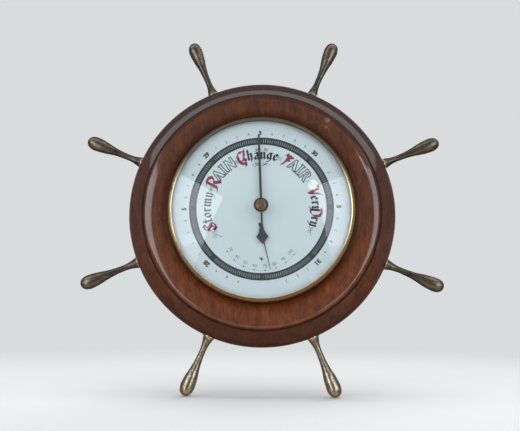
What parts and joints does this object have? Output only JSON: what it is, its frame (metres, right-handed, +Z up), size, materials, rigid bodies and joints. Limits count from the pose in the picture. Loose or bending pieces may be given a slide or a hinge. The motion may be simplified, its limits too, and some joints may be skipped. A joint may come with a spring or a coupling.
{
  "type": "aneroid barometer",
  "caption": "Wall-hung aneroid barometer in a turned wooden ship's wheel surround with brass spoke handles, brass bezel, domed glass, a round dial with a set hand and a small thermometer.",
  "frame": {"origin": "on the dial's axis, in the plane of the wooden back that lies on the wall, which is also the rear face of the hole in the back cover", "axes": "+X right as the reader sees the dial, +Z up, +Y into the wall; the dial faces -Y"},
  "size_m": [0.2556, 0.0442, 0.2556],
  "materials": {
    "mahogany": "stained dark reddish brown, high gloss varnish",
    "antique_brass": "cast, brown patina, rubbed brighter on high spots",
    "polished_brass": "polished, slightly tarnished",
    "clear_glass": "clear, polished",
    "dial_enamel": "satin off-white enamel with black and red print",
    "black_lacquer": "satin black",
    "hardboard": "matt brown fibreboard",
    "zinc_steel": "zinc plated",
    "brass_screws": "plain brass",
    "gasket_card": "matt black packing ring",
    "movement_brass": "lightly brushed",
    "capsule_metal": "nickel silver sheet, soldered rim",
    "steel": "ground steel",
    "spring_steel": "blued spring steel",
    "bimetal": "brass side out"
  },
  "bodies": {
    "case": {"wooden_surround": "mahogany", "spoke_handle_1": "antique_brass", "spoke_handle_2": "antique_brass", "spoke_handle_3": "antique_brass", "spoke_handle_4": "antique_brass", "spoke_handle_5": "antique_brass", "spoke_handle_6": "antique_brass", "spoke_handle_7": "antique_brass", "spoke_handle_8": "antique_brass", "bezel": "polished_brass", "glass_bush": "polished_brass", "glass": "clear_glass", "dial": "dial_enamel", "back_cover": "hardboard", "instrument_case": "zinc_steel", "case_clamps": "zinc_steel", "clamp_screws": "zinc_steel", "hanger_plate": "zinc_steel", "hanger_screws": "zinc_steel", "base_screws": "zinc_steel", "back_cover_screws": "brass_screws", "movement_screws": "brass_screws", "top_plate_screws": "brass_screws", "bridge_screws": "brass_screws", "spring_screws": "brass_screws", "glass_gasket": "gasket_card", "dial_spacer_ring": "gasket_card", "base_plate": "movement_brass", "movement_plate": "movement_brass", "top_plate": "movement_brass", "movement_pillars": "movement_brass", "top_pillars": "movement_brass", "bridge_pillars": "movement_brass", "shaft_bearings": "movement_brass", "hairspring_stud": "movement_brass", "thermometer_bracket": "movement_brass", "capsule_body": "capsule_metal", "capsule_diaphragm": "capsule_metal", "bridge_strap": "steel", "main_spring": "spring_steel", "hairspring": "spring_steel", "bimetal_coil": "bimetal"},
    "pressure_hand": {"pressure_hand": "black_lacquer", "hand_collet": "movement_brass", "pointer_arbor": "steel", "pinion": "movement_brass"},
    "sector": {"sector_gear": "movement_brass", "sector_arbor": "steel"},
    "rocking_shaft": {"rocking_shaft": "steel"},
    "main_lever": {"main_lever": "movement_brass", "pusher_screw": "brass_screws"},
    "capsule_post": {"capsule_post": "capsule_metal"},
    "set_hand": {"set_hand": "polished_brass", "set_spindle": "polished_brass", "set_knob": "polished_brass"},
    "thermometer_hand": {"thermometer_hand": "black_lacquer", "thermometer_arbor": "steel"},
    "adjusting_screw": {"adjusting_screw": "brass_screws"}
  },
  "joints": [
    {"name": "pressure_hand_turn", "type": "hinge", "parent": "case", "child": "pressure_hand", "pos_m": [0, -0.0322, 0], "axis": [0, 1, 0], "range_deg": [-159.5, 164.5], "stiffness_Nm_per_rad": 0.0002, "deforming": ["hairspring"]},
    {"name": "sector_turn", "type": "hinge", "parent": "case", "child": "sector", "pos_m": [0, -0.0247, 0.0264], "axis": [0, 1, 0], "range_deg": [-16.78, 16.27]},
    {"name": "rocking_shaft_turn", "type": "hinge", "parent": "case", "child": "rocking_shaft", "pos_m": [0, -0.016, 0.0252], "axis": [-1, 0, 0], "range_deg": [-16.27, 16.78]},
    {"name": "main_lever_tilt", "type": "hinge", "parent": "case", "child": "main_lever", "pos_m": [0, -0.0178, -0.0097], "axis": [-1, 0, 0], "range_deg": [-1.29, 1.33], "deforming": ["main_spring"]},
    {"name": "capsule_travel", "type": "slide", "parent": "case", "child": "capsule_post", "axis": [0, 1, 0], "range_m": [-0.000218, 0.0002249], "deforming": ["capsule_diaphragm"]},
    {"name": "set_hand_turn", "type": "hinge", "parent": "case", "child": "set_hand", "pos_m": [0, -0.038, 0], "axis": [0, 1, 0], "continuous": true},
    {"name": "thermometer_turn", "type": "hinge", "parent": "case", "child": "thermometer_hand", "pos_m": [0, -0.03, -0.0153], "axis": [0, -1, 0], "range_deg": [-72.6, 37.4], "stiffness_Nm_per_rad": 0.00005, "deforming": ["bimetal_coil"]},
    {"name": "adjusting_screw_turn", "type": "hinge", "parent": "case", "child": "adjusting_screw", "pos_m": [0, -0.006, 0], "axis": [0, 1, 0], "range_deg": [-180, 180]}
  ],
  "couplings": [
    {"joint": "sector_turn", "follows": "pressure_hand_turn", "ratio": -0.1},
    {"joint": "rocking_shaft_turn", "follows": "pressure_hand_turn", "ratio": 0.1},
    {"joint": "main_lever_tilt", "follows": "pressure_hand_turn", "ratio": 0.0079156},
    {"joint": "capsule_travel", "follows": "pressure_hand_turn", "m_per_rad": 0.000076781}
  ]
}
